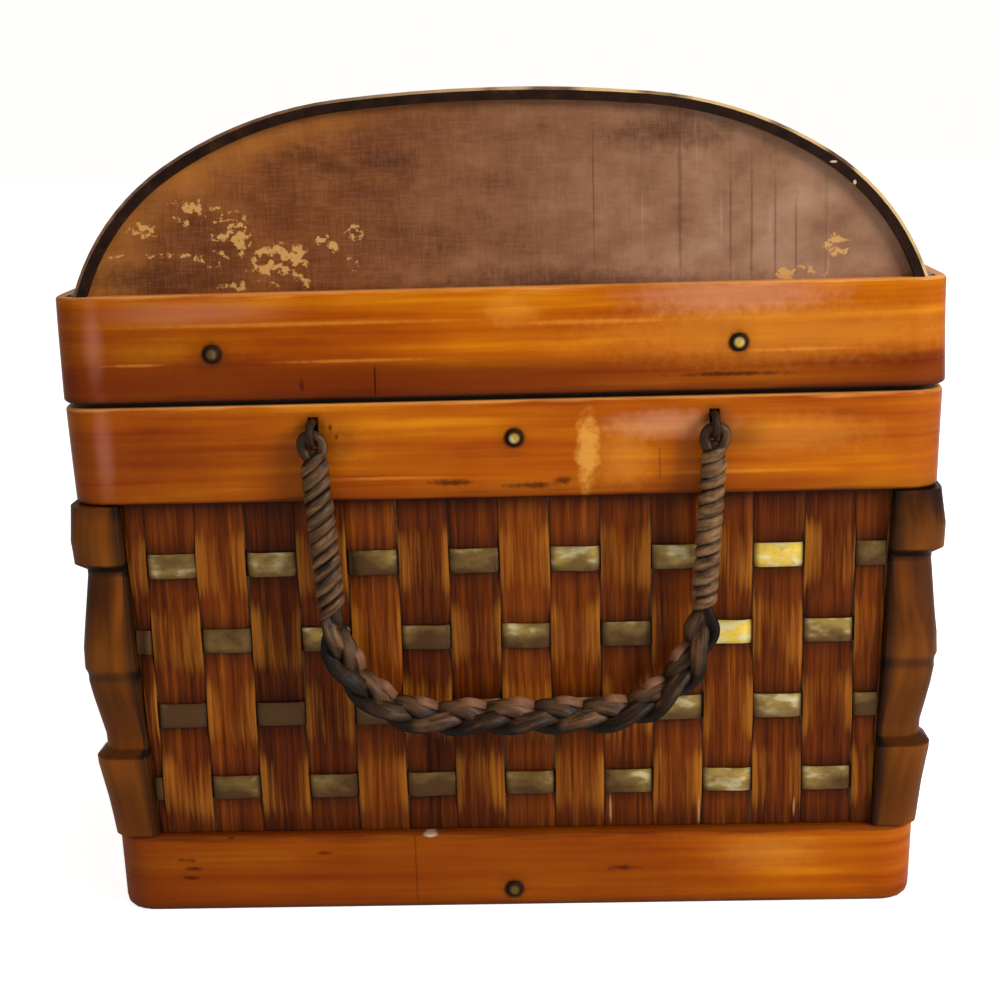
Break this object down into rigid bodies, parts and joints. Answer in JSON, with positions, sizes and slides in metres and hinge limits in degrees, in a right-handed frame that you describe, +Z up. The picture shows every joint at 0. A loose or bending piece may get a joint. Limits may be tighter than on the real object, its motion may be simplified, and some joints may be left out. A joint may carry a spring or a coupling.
{
  "type": "dome top trunk",
  "caption": "Small woven dome-top trunk with bent bands, corner posts, a hinged arched lid and a swinging laced handle on each end.",
  "frame": {"origin": "middle of the trunk's flat bottom, on the floor", "axes": "+X along the trunk, towards its right end; +Y towards the hinged back; +Z up"},
  "size_m": [0.4542, 0.314, 0.2945],
  "materials": {
    "plain_board": "matt",
    "bamboo_band": "gloss lacquer",
    "splint": "satin lacquer",
    "strip_brass": "tarnished",
    "root_post": "gloss lacquer",
    "stained_panel": "satin lacquer, flaking",
    "dome_board": "satin",
    "dome_veneer": "gloss lacquer",
    "leather_rope": "worn",
    "leather_lace": "worn",
    "nail_brass": "aged",
    "hinge_brass": "aged"
  },
  "bodies": {
    "trunk_body": {"bottom_board": "plain_board", "front_wall_board": "plain_board", "back_wall_board": "plain_board", "right_end_board": "plain_board", "left_end_board": "plain_board", "base_band": "bamboo_band", "rim_band": "bamboo_band", "corner_post_front_right": "root_post", "corner_post_front_left": "root_post", "corner_post_back_right": "root_post", "corner_post_back_left": "root_post", "base_band_nails": "nail_brass", "rim_band_nails": "nail_brass", "hinge_body_leaves": "hinge_brass", "hinge_pins": "hinge_brass", "hinge_body_screws": "hinge_brass", "front_splints": "splint", "front_brass_strips": "strip_brass", "back_splints": "splint", "back_brass_strips": "strip_brass", "right_splints": "splint", "right_brass_strips": "strip_brass", "left_splints": "splint", "left_brass_strips": "strip_brass", "right_handle_thongs": "leather_lace", "left_handle_thongs": "leather_lace"},
    "lid": {"lid_band": "bamboo_band", "lid_front_rail": "plain_board", "lid_back_rail": "plain_board", "lid_right_end_panel": "stained_panel", "lid_left_end_panel": "stained_panel", "dome_sheet": "dome_board", "dome_veneer": "dome_veneer", "lid_band_nails": "nail_brass", "hinge_lid_leaves": "hinge_brass", "hinge_lid_screws": "hinge_brass"},
    "right_handle": {"right_handle_rope": "leather_rope", "right_handle_laces": "leather_lace"},
    "left_handle": {"left_handle_rope": "leather_rope", "left_handle_laces": "leather_lace"}
  },
  "joints": [
    {"name": "lid_hinge", "type": "hinge", "parent": "trunk_body", "child": "lid", "pos_m": [0, 0.15645, 0.1904], "axis": [-1, 0, 0], "range_deg": [0, 105]},
    {"name": "right_handle_swing", "type": "hinge", "parent": "trunk_body", "child": "right_handle", "pos_m": [0.2206, 0.004, 0.18], "axis": [0, -1, 0], "range_deg": [-3, 150]},
    {"name": "left_handle_swing", "type": "hinge", "parent": "trunk_body", "child": "left_handle", "pos_m": [-0.2206, 0.004, 0.18], "axis": [0, 1, 0], "range_deg": [-3, 150]}
  ]
}
